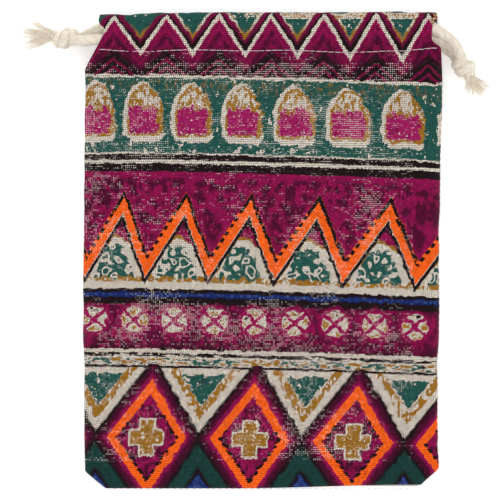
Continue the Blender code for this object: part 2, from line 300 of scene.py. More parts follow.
def set_inputs(node, values):
    for name, value in values.items():
        node.inputs[name].default_value = value


def new_material(name):
    material = bpy.data.materials.new(name)
    material.use_nodes = True
    tree = material.node_tree
    return material, tree, tree.nodes["Principled BSDF"]


def stored_vector(tree, name):
    """A vector that the mesh holds at each point, and its three numbers."""
    place = tree.nodes.new("ShaderNodeAttribute")
    place.attribute_name = name
    parts = tree.nodes.new("ShaderNodeSeparateXYZ")
    tree.links.new(place.outputs["Vector"], parts.inputs[0])
    return place.outputs["Vector"], *(Value(tree, part) for part in parts.outputs)


def vector_of(tree, *numbers):
    node = tree.nodes.new("ShaderNodeCombineXYZ")
    for slot, number in zip(node.inputs, numbers):
        tree.links.new(number.socket, slot)
    return node.outputs[0]


def stretched(tree, vector, scales):
    node = tree.nodes.new("ShaderNodeVectorMath")
    node.operation = "MULTIPLY"
    node.inputs[1].default_value = scales
    tree.links.new(vector, node.inputs[0])
    return node.outputs[0]


def on_object(tree):
    return tree.nodes.new("ShaderNodeTexCoord").outputs["Object"]


def noise_value(tree, vector, scale, seed, detail=1.0):
    """Smooth noise from about -1 to 1. scale is in lumps per unit of the vector."""
    node = tree.nodes.new("ShaderNodeTexNoise")
    node.noise_dimensions = "4D"
    set_inputs(node, {"Scale": scale, "Detail": detail, "W": seed})
    tree.links.new(vector, node.inputs["Vector"])
    return (Value(tree, node.outputs["Fac"]) - 0.5) * 3.0


def finish_surface(tree, shader, colour, relief, strength, depth, rough, even_values):
    """Gives the shader its colour, its bump and roughness, and the values that are even."""
    tree.links.new(colour, shader.inputs["Base Color"])
    bump = tree.nodes.new("ShaderNodeBump")
    set_inputs(bump, {"Strength": strength, "Distance": depth})
    tree.links.new(relief.socket, bump.inputs["Height"])
    tree.links.new(bump.outputs[0], shader.inputs["Normal"])
    tree.links.new(rough.socket, shader.inputs["Roughness"])
    set_inputs(shader, even_values)


# --- The printed cloth ---

MAGENTA = ink(146, 18, 78)
PLUM = ink(72, 14, 42)
ROSE = ink(158, 28, 92)
BLACK = ink(30, 20, 22)
TEAL = ink(36, 84, 76)
DARK_GREEN = ink(26, 60, 56)
OCHRE = ink(152, 106, 34)
ORANGE = ink(242, 96, 26)
BARE = ink(216, 206, 192)
PINKISH = ink(210, 182, 174)
BLUE = ink(24, 42, 100)
PALE_BLUE = ink(84, 110, 170)
CRIMSON = ink(112, 16, 60)
HOLE = ink(236, 224, 216)
SHADED_HOLE = ink(70, 60, 58)

# Weave, in millimetres
HOLE_PITCH = 0.76
THREAD_PITCH = HOLE_PITCH / 2


class Painting:
    """A colour that layers of ink go over, one after another."""

    def __init__(self, tree, ground):
        self.tree = tree
        self.colour = ground

    def add(self, mask, colour):
        self.colour = mixed(self.tree, mask, self.colour, colour)


def zigzag(u, v, foot, rise, fall, low, high):
    """How far (u, v) is above a line that goes up from low at foot to high in the distance
    rise, comes down to low again in the distance fall, and repeats."""
    period = rise + fall
    along = ((u - foot) / period).math("FRACT") * period

    def above_line(slope, at_zero):
        flatten = 1 / math.hypot(1, slope)
        height = along.math("MULTIPLY_ADD", -slope, v)
        return height.math("MULTIPLY_ADD", flatten, -at_zero * flatten)

    up = (high - low) / rise
    down = (high - low) / fall
    near_foot = above_line(up, low).smaller(above_line(-down, low))
    at_peak = above_line(-down, low + down * period)
    near_end = at_peak.smaller(above_line(up, low - up * period))
    return near_foot.larger(near_end)


def paint_casing(paint, u, v, slant, soft, blotch, speck, streak):
    """White zigzag with teal above it and magenta below, over dark chevrons."""
    stretched = (v - 89.5) * (slant * -0.20 + 1.0) + 89.5
    line = zigzag(u, stretched, -66.3, 9.93, 9.92, 75.2, 89.4)
    paint.add(blotch.faded(0.1, 0.6), DARK_GREEN)
    paint.add(v.over(88.0) * (slant + soft * 0.3).over(0.32), BARE)
    paint.add(v.over(88.4) * (slant + soft * 0.3).over(0.32) * speck.over(0.1), OCHRE)
    paint.add((speck + streak * 0.6).over(0.55) * line.over(5.0), BARE)
    paint.add((line + soft * 1.0).under(3.9) * slant.over(0.1), BARE)
    paint.add((line + blotch * 0.8).faded(4.4, 3.7) * v.faded(87.0, 82.5), OCHRE)
    paint.add((line + blotch * 0.8).under(3.4) * slant.over(0.5), OCHRE)
    paint.add((line + soft * 0.3).faded(3.3, 2.9), CRIMSON)
    paint.add(line.faded(2.5, 1.9) * (v + soft).faded(87.0, 80.0), BLACK)
    paint.add(line.faded(1.6, 1.2), BLACK)
    paint.add(line.under(0.62), BARE)
    paint.add(line.under(-0.62), MAGENTA)
    paint.add(line.under(-0.9) * v.faded(85.0, 76.0) * 0.7, CRIMSON)
    paint.add((u + soft).over(64.0) * (v + speck).over(85.0) * (streak + speck).over(0.1), OCHRE)
    paint.add((u + speck).over(65.0) * (v + soft).over(84.0) * (speck - streak).over(0.3), PINKISH)
    stripe = abs((line + soft * 0.9 + blotch * 0.5).from_repeat(-0.6, 3.6))
    paint.add(line.under(-1.4) * stripe.faded(1.6, 0.6) * blotch.faded(-0.6, 0.1), PLUM)
    chevron = zigzag(u, v + slant * 3.0, -66.3, 9.93, 9.92, 68.2, 76.6) + soft * 0.4
    paint.add(chevron.faded(1.4, 0.2) * line.under(-0.8), PLUM)
    paint.add(chevron.faded(0.5, -0.2), BLACK)
    gap = abs((chevron + blotch * 0.2).from_repeat(-2.6, 2.5)).faded(0.65, 0.3)
    paint.add(gap * chevron.between(-6.0, -0.5) * (blotch + speck * 0.3).faded(-0.7, -0.3), CRIMSON)


def paint_domes(paint, u, v, slant, soft, blotch, speck, streak):
    """A row of pointed domes on teal, under a thin white line."""
    paint.add((v + soft * 0.9).under(67.1), BARE)
    paint.add((v + blotch * 0.5).under(66.0), TEAL)
    paint.add(v.under(65.6) * blotch.faded(0.0, 0.7) * 0.8, DARK_GREEN)
    daubs = v.under(65.6) * v.faded(59.0, 63.0) * (streak + speck * 0.3).faded(0.0, 0.5)
    paint.add(daubs * 0.5, OCHRE)
    paint.add(v.under(65.8) * (soft * 0.8 + streak * 0.5 + speck * 0.3).over(0.46), BARE)
    # The domes stand wider apart towards the right.
    index = ((u + 62.7) * 1.24 + 309.8).math("SQRT").math("MULTIPLY_ADD", 1 / 0.62, -17.6 / 0.62)
    aside = index.from_repeat(0.0, 1.0) * 18.6 + blotch * 0.7
    rise = ((v - 53.0) * 0.65).larger(0.0).math("POWER", 1.6)

    def ring_at(shift):
        ring = (abs(aside + shift).math("POWER", 1.6) + rise).math("POWER", 1 / 1.6)
        return ring + soft * 1.1 + streak * 0.3

    corner = (abs(aside) - 5.2).larger(0.0) * 0.9 + soft * -1.3
    halo = ring_at(0.8)
    # Here and there the cream runs on down to the white line below.
    legs = (soft + streak * 0.3).over(0.32) * abs(aside).under(8.0)
    paint.add((v - blotch).between(37.6, 42.8) * legs, BARE)
    paint.add((v - corner).over(41.4) * (halo + slant * 0.9).under(7.8), BARE)
    ring = ring_at(0.0)
    inside = (v - corner).over(43.7)
    paint.add(inside * (ring + slant * 0.5).under(7.0) * (speck + blotch).over(-0.30), OCHRE)
    paint.add(inside * ring.under(5.9) * (v - speck * 3.0).over(54.0), BARE)
    paint.add(inside * ring.under(6.1) * (streak + speck * 0.4).over(0.05), OCHRE)
    heart = (v - corner + speck * 0.5).over(44.8) * (v + streak * 4.0).under(54.6)
    heart = heart * (ring + aside * 0.11 + speck * 0.6 + blotch * 0.7).under(5.5)
    paint.add(heart, ROSE)
    paint.add(heart * (blotch + streak * 0.5).faded(0.1, 0.8) * 0.7, PLUM)
    paint.add(heart * (speck + blotch * 0.5).over(0.62), BARE)


def paint_rules(paint, height, edges):
    """Plain bands: below each height comes its colour."""
    for edge, colour in edges:
        paint.add(height.under(edge), colour)


def paint_large_zigzag(paint, u, v, soft, blotch, speck, streak, swirl):
    """An orange zigzag on magenta, with a teal scribble in the cream under each peak."""
    # The peaks stand closer together on the left than on the right.
    shift = u + 8.0
    u = u - shift * shift * 0.0009 + 2.0
    line = zigzag(u, v, -68.5, 15.8, 9.2, -5.6, 18.4)
    paint.add(v.under(30.4), MAGENTA)
    paint.add(v.under(30.4) * (blotch + soft * 0.4).faded(-0.3, 0.3) * 0.7, CRIMSON)
    clouds = (swirl * 0.8 + streak * 0.5 + blotch * 0.5).faded(-0.12, 0.22)
    paint.add(v.faded(28.6, 27.6) * line.faded(2.6, 4.4) * clouds * 0.92, PLUM)
    under = line.under(-2.6)
    aside = u.from_repeat(-56.6, 25.0)
    # Height above the arch that the cream makes under each peak
    arch = v + aside * aside * 0.075
    paint.add(under * (v + blotch * 2.0).over(9.0), PLUM)
    paint.add(under * (arch + blotch * 1.4).under(6.2), OCHRE)
    cream = under * (arch + soft).under(5.3) * (line + blotch * 0.8).under(-3.2)
    paint.add(cream, BARE)
    across = abs(aside) + soft * 1.6
    wide = (v + 9.6).math("MULTIPLY_ADD", -0.36, 8.2)
    blob = cream * across.under(wide) * (v + blotch * 1.5).between(-10.2, 2.2)
    curls = abs((swirl + soft * 0.25).from_repeat(-0.45, 0.9)).over(0.14)
    paint.add(blob * curls, TEAL)
    base = (v + blotch * 1.6).between(-12.0, -9.6) * (streak + soft).over(-0.2)
    paint.add(cream * base, OCHRE)
    bands = ((-11.4, BARE), (-14.1, BLACK), (-15.5, BLUE), (-17.2, BLACK), (-20.2, MAGENTA))
    paint_rules(paint, v + soft * 0.7, bands)
    paint.add((v + speck * 0.4).between(-16.6, -15.9) * streak.faded(0.0, 0.5) * 0.5, PALE_BLUE)
    stroke = line + soft * 0.4 + speck * 0.1
    paint.add(stroke.between(-3.2, 2.1), BLACK)
    paint.add(stroke.between(-2.05, 2.1), BARE)
    paint.add(stroke.between(-1.85, 2.2), ORANGE)
    dash = (v + u * 0.35).from_repeat(0.0, 3.4) + speck * 0.5
    tops = (v + streak * 3.0).over(15.5)
    falling = (((u + 68.5) / 25.0).math("FRACT")).over(0.6)
    solid = tops.larger(falling * (speck + streak).over(-0.5))
    marks = abs(dash).under(0.95).larger(solid) * stroke.between(0.9, 2.15)
    paint.add(marks, BLACK)


def paint_rosettes(paint, u, v, soft, blotch, speck, streak):
    """A row of crossed discs on dark magenta."""
    field = v.under(-19.7)
    paint.add(field * (blotch + streak * 0.5).faded(-0.45, 0.1) * 0.9, PLUM)
    paint.add(field * v.faded(-33.0, -36.5) * (soft + speck * 0.4).faded(-0.5, 0.5), BLACK)
    across = u.from_repeat(-64.2, 15.25) + soft * 0.8
    up = v + 25.9 + soft * 0.4 + blotch * 0.4
    ring = (across.math("POWER", 2.0) + up.math("POWER", 2.0)).math("SQRT") + soft * 0.6
    paint.add(ring.faded(7.2, 5.0), MAGENTA)
    spoke = abs(abs(across * 0.9) - abs(up)) + streak * 0.3
    wedges = spoke.over(0.95) * ring.between(1.3, 4.8)
    paint.add(wedges, BARE)
    marks = wedges * spoke.over(1.5) * ring.between(2.2, 4.6)
    paint.add(marks * (blotch + speck * 0.7).over(0.12), OCHRE)
    paint.add(marks * up.over(0.4) * (speck - blotch).over(0.42), BLACK)


def paint_cream_band(paint, v, soft, blotch, speck, level):
    """A cream band with broken dark lines and daubs of teal and ochre."""
    paint.add((v + soft * 0.7).under(-37.0), BARE)
    paint.add(v.under(-37.2) * blotch.faded(0.0, 0.5) * 0.7, PINKISH)
    height = v + soft * 0.35
    paint.add(height.between(-39.8, -38.4) * (level + speck * 0.2).over(-0.2), BLACK)
    patch = (height + speck * 0.4).between(-42.8, -40.3)
    paint.add(patch * (level + blotch * 0.6).over(0.12), TEAL)
    paint.add(patch * (level + blotch * 0.6).under(-0.22), OCHRE)
    paint.add(patch * (level - blotch).over(0.62), BLACK)
    paint.add(height.between(-44.5, -43.1) * speck.over(-0.8), BLACK)


def paint_diamonds(paint, u, v, slant, soft, blotch, speck, streak):
    """Orange diamonds round crosses, with pointed teal, green and blue fields between them."""
    v = v + 70.6
    # The upper points of the diamonds lean to the right.
    across = abs((u - v.larger(0.0) * 0.1).from_repeat(-44.3, 39.2))
    outside = (across / 15.2 + abs(v) / 22.0).math("MULTIPLY_ADD", 12.5, -12.5) + soft * 0.45
    field = v.under(26.6)
    paint.add(field, BARE)
    paint.add(field * blotch.faded(0.1, 0.5) * 0.6, PINKISH)
    daubs = (outside + soft * 0.8).between(7.6, 10.4) * (streak + soft * 0.7).over(-0.2)
    paint.add(field * daubs, OCHRE)
    inset = (v + blotch * 1.2 + soft).under(24.2)
    teal = field * inset * (outside + soft * 0.9 - slant * 0.6).over(10.5)
    paint.add(teal, TEAL)
    paint.add(teal * blotch.faded(0.1, 0.5), DARK_GREEN)
    paint.add(teal * (speck * 0.5 + soft * 0.7).over(0.36), BARE)
    low = (v + soft * 0.5).under(0.0)
    paint.add(low, DARK_GREEN)
    paint.add(low * outside.faded(9.2, 10.6), BLACK)
    paint.add(low * (outside + soft * 0.4).over(11.2), BLUE)
    paint.add(low * (outside + soft * 0.4).over(11.6) * streak.faded(-0.4, 0.5) * 0.5, PALE_BLUE)
    field = v.under(28.0)
    paint.add(field * (outside + soft * 0.4).faded(5.4, 4.6), BLACK)
    paint.add(field * (outside + blotch).faded(4.2, 2.8), PLUM)
    paint.add(field * (outside + blotch).faded(2.0, 0.6), MAGENTA)
    paint.add(outside.under(0.0), ORANGE)
    paint.add(outside.under(-3.1), MAGENTA)
    paint.add(outside.faded(-3.0, -3.6) * (blotch + streak * 0.6).faded(-0.2, 0.3), PLUM)
    dash = abs((v + soft).from_repeat(0.0, 2.6)).under(0.85) * (blotch - v * 0.03).over(-0.1)
    paint.add((outside + speck * 0.3).between(-3.9, -2.6) * dash, BLACK)
    upright = (across - 2.5).larger(abs(v) - 6.6)
    level = (across - 6.2).larger(abs(v) - 2.4)
    cross = upright.smaller(level) + soft * 0.8
    paint.add(cross.under(0.75), BARE)
    paint.add(cross.under(0.0) * (speck + streak).under(0.5), OCHRE)


def weave_height(u, v):
    """Plain weave: threads that pass over and under each other, from -1 to 1."""
    turn = math.pi / THREAD_PITCH
    return (u * turn).math("SINE") * (v * turn).math("SINE")


def printed_material(name, fade):
    """The print on its cloth. fade is how far it is lost, as on the cloth's reverse."""
    material, tree, shader = new_material(name)
    flat, bare_u, bare_v, layers = stored_vector(tree, "flat_cloth")
    soft = noise_value(tree, flat, 0.45, 1.0, detail=2.0)
    fray = noise_value(tree, flat, 1.9, 2.0)
    blotch = noise_value(tree, flat, 0.38, 3.0, detail=3.0)
    speck = noise_value(tree, flat, 1.05, 4.0)
    streak = noise_value(tree, stretched(tree, flat, (1.0, 0.45, 1.0)), 0.8, 5.0, detail=2.0)
    level = noise_value(tree, stretched(tree, flat, (0.28, 1.0, 1.0)), 0.9, 6.0, detail=2.0)
    swirl = noise_value(tree, flat, 0.30, 9.0, detail=0.6)

    # The drawing's edges wander, and below the casing it drops towards the right.
    u = bare_u + soft * 0.55 + fray * 0.32
    v = bare_v + blotch * 0.4 + fray * 0.30
    slant = ((u + 66.0) / 132.0).larger(0.0).math("POWER", 1.5)
    paint = Painting(tree, TEAL)
    paint_casing(paint, u, v, slant, soft, blotch, speck, streak)
    v = v + slant * 3.4
    paint_domes(paint, u, v, slant, soft, blotch, speck, streak)
    bands = ((37.6, BARE), (37.0, BLACK), (34.8, BARE), (33.5, BLACK))
    paint_rules(paint, v + soft * 0.5 + speck * 0.12, bands)
    paint_large_zigzag(paint, u, v, soft, blotch, speck, streak, swirl)
    paint_rosettes(paint, u, v, soft, blotch, speck, streak)
    paint_cream_band(paint, v, soft, blotch, speck, level)
    paint_diamonds(paint, u, v, slant, soft, blotch, speck, streak)

    # Gaps between threads let the ground show through, most of all in some patches. Elsewhere the
    # gaps hold painted shade as dark dots.
    hole_u = bare_u + blotch * 0.10
    hole_v = bare_v + soft * 0.10
    columns, rows = ((at / HOLE_PITCH).math("FLOOR") for at in (hole_u, hole_v))
    chance = tree.nodes.new("ShaderNodeTexWhiteNoise")
    chance.noise_dimensions = "2D"
    tree.links.new(vector_of(tree, columns, rows), chance.inputs["Vector"])
    chance_of = Value(tree, chance.outputs["Value"])
    off_u = hole_u.from_repeat(HOLE_PITCH / 2, HOLE_PITCH)
    off_v = hole_v.from_repeat(HOLE_PITCH / 2, HOLE_PITCH)
    off = off_u * off_u + off_v * off_v
    round_hole = off.faded(0.054, 0.020)
    single = layers.under(1.5)
    region = noise_value(tree, flat, 0.07, 8.0, detail=2.0)
    crowded = bare_v.between(-34.0, -20.0)
    crowded = crowded + bare_v.between(64.5, 71.0) + bare_v.between(31.0, 56.0)
    patches = chance_of * 0.36 + region * 0.38 + level * 0.32 + crowded * 0.10
    patches = patches - bare_v.over(71.5) * 0.1 + 0.15
    grey = tree.nodes.new("ShaderNodeRGBToBW")
    tree.links.new(paint.colour, grey.inputs[0])
    light_ground = Value(tree, grey.outputs[0]).over(0.32)
    holes = round_hole * patches.faded(0.38, 0.62) * single
    paint.add(holes * light_ground.reversed() * 0.9, HOLE)
    # Painted shade: dark dots in the thread gaps on light print, and black dots on dark print where
    # no white hole shows.
    dark_holes = off.faded(0.090, 0.026) * (chance_of + blotch * 0.5 + 0.3).faded(0.0, 0.6)
    paint.add(dark_holes * light_ground * 0.85, SHADED_HOLE)
    paint.add(round_hole * light_ground.reversed() * holes.reversed() * 0.4, BLACK)

    # Painted shade and highlight on the weave's threads and on the ribs of the doubled cloth,
    # together with ink that lies thicker or thinner at random.
    weave = weave_height(bare_u, bare_v)
    rib_shade = (bare_v * (math.pi / THREAD_PITCH)).math("COSINE") * single.reversed()
    thread_shade_and_ink_mottle = weave * 0.22 + rib_shade * 0.16 + fray * 0.45 + speck * 0.20 + blotch * 0.16 + 0.98
    shaded_mottled_colour = tree.nodes.new("ShaderNodeVectorMath")
    shaded_mottled_colour.operation = "SCALE"
    tree.links.new(mixed(tree, fade, paint.colour, BARE), shaded_mottled_colour.inputs[0])
    tree.links.new(thread_shade_and_ink_mottle.socket, shaded_mottled_colour.inputs["Scale"])
    relief = weave * 0.5 + fray * 0.5 + (holes * -0.7)
    even = {"Sheen Weight": 0.02, "Sheen Roughness": 0.5, "Specular IOR Level": 0.04}
    rough = blotch * 0.04 + 0.9
    finish_surface(tree, shader, shaded_mottled_colour.outputs[0], relief, 0.5, 0.00012, rough, even)
    return material


# --- Meshes ---


def add_mesh(name, points, faces, materials):
    """A smooth mesh from plain lists, with one material or a list of them."""
    mesh = bpy.data.meshes.new(name)
    mesh.from_pydata([tuple(p) for p in points], [], faces)
    for item in materials if isinstance(materials, list) else [materials]:
        mesh.materials.append(item)
    mesh.shade_smooth()
    mesh.update()
    piece = bpy.data.objects.new(name, mesh)
    bpy.context.scene.collection.objects.link(piece)
    return piece


def set_vectors(piece, name, vectors):
    """Stores a vector at each point of the mesh, for its material."""
    attribute = piece.data.attributes.new(name, "FLOAT_VECTOR", "POINT")
    attribute.data.foreach_set("vector", np.asarray(vectors, dtype=np.float32).ravel())


def apply_modifiers(piece):
    depsgraph = bpy.context.evaluated_depsgraph_get()
    shaped = piece.evaluated_get(depsgraph)
    mesh = bpy.data.meshes.new_from_object(
        shaped, preserve_all_data_layers=True, depsgraph=depsgraph
    )
    piece.modifiers.clear()
    piece.data = mesh


def grid_faces(rows, columns, keep=None):
    faces = []
    for j in range(rows - 1):
        for i in range(columns - 1):
            if keep is None or keep[j, i]:
                a = j * columns + i
                faces.append((a, a + 1, a + columns + 1, a + columns))
    return faces


def tube_faces(first, rings, sides):
    """The faces of a closed tube whose rings of points follow each other from first."""
    faces = []
    for i in range(rings - 1):
        for k in range(sides):
            a = first + i * sides + k
            b = first + i * sides + (k + 1) % sides
            faces.append((a, b, b + sides, a + sides))
    last = first + (rings - 1) * sides
    faces.append(tuple(reversed(range(first, first + sides))))
    faces.append(tuple(range(last, last + sides)))
    return faces


def ease(start, end, at):
    """0 before start, 1 after end and a smooth rise between them."""
    share = np.clip((at - start) / (end - start), 0.0, 1.0)
    return share * share * (3 - 2 * share)


def lumps(x, y, size, seed):
    """Smooth noise from about -1 to 1 over arrays of places."""
    read = np.frompyfunc(
        lambda a, b: noise.noise(Vector((a / size + seed * 7.3, b / size, seed * 3.1))), 2, 1
    )
    return np.asarray(read(x, y), dtype=float) * 1.6


# --- Shape of the pouch ---


def place_across(share, y, front=True):
    """x where share runs from -1 at the left edge to 1 at the right."""
    left = np.interp(y, *zip(*(FRONT_LEFT_EDGE if front else LEFT_EDGE)))
    right = np.interp(y, *zip(*(FRONT_RIGHT_EDGE if front else RIGHT_EDGE)))
    # The sewn edges are never quite straight.
    left = left + 0.00030 * lumps(y, 0 * y, 0.012, 1) + 0.0004 * lumps(y, 0 * y, 0.045, 2)
    right = right + 0.00025 * lumps(y, 0 * y, 0.010, 3) + 0.0004 * lumps(y, 0 * y, 0.040, 4)
    return left + (right - left) * (share + 1) / 2


def edge_height(y, side):
    """Height of the front cloth at a side edge, -1 for left."""
    low = SEAM_EDGE_HEIGHT if side > 0 else EDGE_HEIGHT
    corner = (SEAM_EDGE_HEIGHT - low) * (1 - ease(-0.0780, -0.0640, y))
    return low + corner + (STACK_HEIGHT - low) * ease(0.0480, CASING_Y, y)


def belly(y):
    """Height of the front cloth along the middle line."""
    to_bottom = np.clip((BELLY_TOP_Y - y) / (BELLY_TOP_Y + HALF_LENGTH), 0.0, 1.0)
    fullness = (1 - to_bottom**3) ** 0.7
    body = SEAM_EDGE_HEIGHT + (BELLY_HEIGHT - SEAM_EDGE_HEIGHT) * fullness
    return body + (STACK_HEIGHT - body) * ease(BELLY_TOP_Y, CASING_Y, y)


def roll(share, y, edge):
    """0 at the outline, rising as a rounded edge to 1 on the cloth's face."""
    width = np.interp(y, *zip(*RIGHT_EDGE)) - np.interp(y, *zip(*LEFT_EDGE))
    from_side = (1 - np.abs(share)) / 2 * width
    side_reach = 0.0009 + 0.45 * edge * (1 - ease(SLIT_Y, CASING_Y, y))
    side_reach = np.where(y > SLIT_TOP_Y, 0.0010, side_reach)
    from_bottom = (y + HALF_LENGTH) / 0.0022
    near = np.clip(np.minimum(from_side / side_reach, from_bottom), 0.0, 1.0)
    return np.sqrt(1 - (1 - near) ** 2)


def edge_and_meeting(share, y):
    """The front cloth's edge height and the height where front and back cloth meet."""
    edge = np.where(share < 0, edge_height(y, -1), edge_height(y, 1))
    return edge, edge / 2


def between_ridges(y):
    """1 in the casing away from the cords, which show through it as two soft ridges."""
    ridges = np.exp(-(((y - LOWER_LANE_Y) / 0.0017) ** 2))
    ridges = ridges + np.exp(-(((y - UPPER_LANE_Y) / 0.0017) ** 2))
    return ease(STITCH_Y, LOWER_LANE_Y, y) * (1 - np.clip(ridges, 0, 1))


def rounded_edge(share, y, edge, meeting, face, open_height):
    """Heights that rise to the face from where the cloths meet, or from their own open edge."""
    closed = 1 - ease(SLIT_Y, SLIT_TOP_Y, y)
    start = meeting * closed + open_height * (1 - closed)
    return start + (face - start) * roll(share, y, edge)


def settled(x, y):
    """y with the bottom's rise to the right and the mouth's dip on the left."""
    rise = 0.0013 * ease(-0.010, 0.055, x) * (1 - ease(-HALF_LENGTH, -0.070, y))
    dip = 0.0008 * ease(-0.030, -0.055, x) * ease(SLIT_TOP_Y, 0.0870, y)
    return y + rise - dip


def front_surface(share, y):
    edge, meeting = edge_and_meeting(share, y)
    fullness = (1 - share**4) ** 0.6
    face = edge + (belly(y) - edge) * fullness
    x = place_across(share, y)
    body = 1 - ease(0.0700, STITCH_Y, y)
    inner = ease(0.0, 0.012, (y + HALF_LENGTH)) * (1 - np.abs(share)) ** 0.3 * body
    face = face + inner * (0.0006 * lumps(x, y, 0.030, 5) + 0.00022 * lumps(x, y, 0.009, 6))
    # Puckers that run out from the stitch line, and the line's own groove
    from_stitch = np.abs(y - STITCH_Y)
    pucker = lumps(x, 0.25 * y, 0.0046, 7) * np.exp(-from_stitch / 0.0052)
    face = face + 0.00042 * pucker - 0.0008 * np.exp(-((from_stitch / 0.0009) ** 2))
    face = face - 0.00055 * between_ridges(y)
    face = face + 0.00022 * ease(STITCH_Y, LOWER_LANE_Y, y) * lumps(x, y, 0.011, 8)
    # Seam allowances lie under the right side and the bottom
    side = ease(-0.0107, -0.0100, x - 0.0668) * (1 - ease(0.062, 0.068, y))
    foot = 1 - ease(-0.0806, -0.0798, y)
    face = face + 0.00030 * np.maximum(side, foot) * inner**0.5
    return x, settled(x, y), rounded_edge(share, y, edge, meeting, face, face - 0.0005)


def back_surface(share, y):
    edge, meeting = edge_and_meeting(share, y)
    x = place_across(share, y, front=False)
    face = 0.00012 * (1 + lumps(x, y, 0.022, 9)) * (1 - np.abs(share)) ** 0.4
    from_stitch = np.abs(y - STITCH_Y)
    face = face + 0.0007 * np.exp(-((from_stitch / 0.0009) ** 2))
    face = face + 0.00025 * (1 + lumps(x, 0.25 * y, 0.0046, 10)) * np.exp(-from_stitch / 0.005)
    face = face + 0.0004 * between_ridges(y)
    return x, settled(x, y), rounded_edge(share, y, edge, meeting, face, face + 0.0004)


def hem_line(front):
    """The cloth past the fold: (y, z, how far along the cloth from the fold's start)."""
    turn = [math.pi * i / FOLD_STEPS for i in range(1, FOLD_STEPS + 1)]
    line = [
        (FOLD_Y + FOLD_RADIUS * math.sin(a), FOLD_RADIUS - FOLD_RADIUS * math.cos(a)) for a in turn
    ]
    inner_z = 2 * FOLD_RADIUS
    leg = np.linspace(FOLD_Y, HEM_RAW_EDGE_Y, HEM_STEPS)[1:]
    for y in leg:
        pinch = 1 - ease(STITCH_Y + 0.0002, HEM_BEND_Y, y)
        line.append((y, inner_z + (HEM_PINCH_RISE - inner_z) * pinch))
    lengths = [0.0]
    before = (FOLD_Y, 0.0)
    for point in line:
        lengths.append(lengths[-1] + math.dist(before, point))
        before = point
    return [(y, STACK_HEIGHT - z if front else z, s) for (y, z), s in zip(line, lengths[1:])]


def side_steps(span):
    """Places from 0 to 1 along a span, close together at both ends."""
    near = [0.0, 0.00012, 0.0003, 0.0006, 0.0010, 0.0015, 0.0021, 0.0029]
    inner = np.linspace(near[-1], span - near[-1], round((span - 2 * near[-1]) / CLOTH_CELL) + 1)
    ends = [span - d for d in reversed(near[:-1])]
    return np.array(near[:-1] + list(inner) + ends) / span


# --- Slack in the front cloth ---


def spline_weights(places, knots):
    """A matrix that carries values at even knots to places, on smooth curves through them."""
    weights = np.zeros((len(places), len(knots)))
    step = knots[1] - knots[0]
    for row, place in enumerate(places):
        index = int(np.clip((place - knots[0]) // step, 0, len(knots) - 2))
        t = (place - knots[index]) / step
        parts = (
            (-t + 2 * t**2 - t**3) / 2,
            (2 - 5 * t**2 + 3 * t**3) / 2,
            (t + 4 * t**2 - 3 * t**3) / 2,
            (t**3 - t**2) / 2,
        )
        for offset, part in enumerate(parts):
            weights[row, int(np.clip(index - 1 + offset, 0, len(knots) - 1))] += part
    return weights


def slack_moves(shares, ys):
    """How far each point of the front cloth moves when its slack settles into folds."""
    sim_shares = np.linspace(-1, 1, SIM_COLUMNS)
    sim_ys = np.linspace(-HALF_LENGTH, SIM_TOP_Y, SIM_ROWS)
    share, y = np.meshgrid(sim_shares, sim_ys)
    start = np.stack(front_surface(share, y), axis=-1)
    faces = grid_faces(SIM_ROWS, SIM_COLUMNS)
    piece = add_mesh("slack_trial", start.reshape(-1, 3), faces, [])
    held = piece.vertex_groups.new(name="held")
    side = np.clip((1 - np.abs(share)) / 0.10, 0, 1)
    ends = np.clip(np.minimum(y + HALF_LENGTH, SIM_TOP_Y - y) / 0.009, 0, 1)
    loose = np.minimum(side, ends).ravel()
    for index, freedom in enumerate(loose):
        held.add([index], float(1 - (1 - HOLD_SHARE) * freedom), "REPLACE")
    cloth = piece.modifiers.new("cloth", "CLOTH")
    settings = cloth.settings
    for name, value in SLACK_CLOTH.items():
        setattr(settings, name, value)
    settings.effector_weights.gravity = 0.3
    cloth.collision_settings.use_collision = False
    cloth.point_cache.frame_start = 1
    cloth.point_cache.frame_end = SIM_FRAMES
    scene = bpy.context.scene
    scene.frame_start = 1
    scene.frame_end = SIM_FRAMES
    for frame_number in range(1, SIM_FRAMES + 1):
        scene.frame_set(frame_number)
    depsgraph = bpy.context.evaluated_depsgraph_get()
    draped = piece.evaluated_get(depsgraph).to_mesh()
    end = np.zeros(start.size)
    draped.vertices.foreach_get("co", end)
    moves = end.reshape(start.shape) - start
    piece.evaluated_get(depsgraph).to_mesh_clear()
    scene.frame_set(1)
    bpy.data.objects.remove(piece, do_unlink=True)
    length = np.linalg.norm(moves, axis=-1, keepdims=True)
    moves = moves * np.minimum(1.0, SLACK_CAP / np.maximum(length, 1e-9))
    by_row = spline_weights(np.minimum(ys, SIM_TOP_Y), sim_ys)
    by_column = spline_weights(shares, sim_shares)
    smooth = np.einsum("rj,jik,ci->rck", by_row, moves, by_column)
    fade = 1 - ease(SIM_TOP_Y - 0.006, SIM_TOP_Y, ys)
    return smooth * fade[:, None, None]


# --- The pouch ---


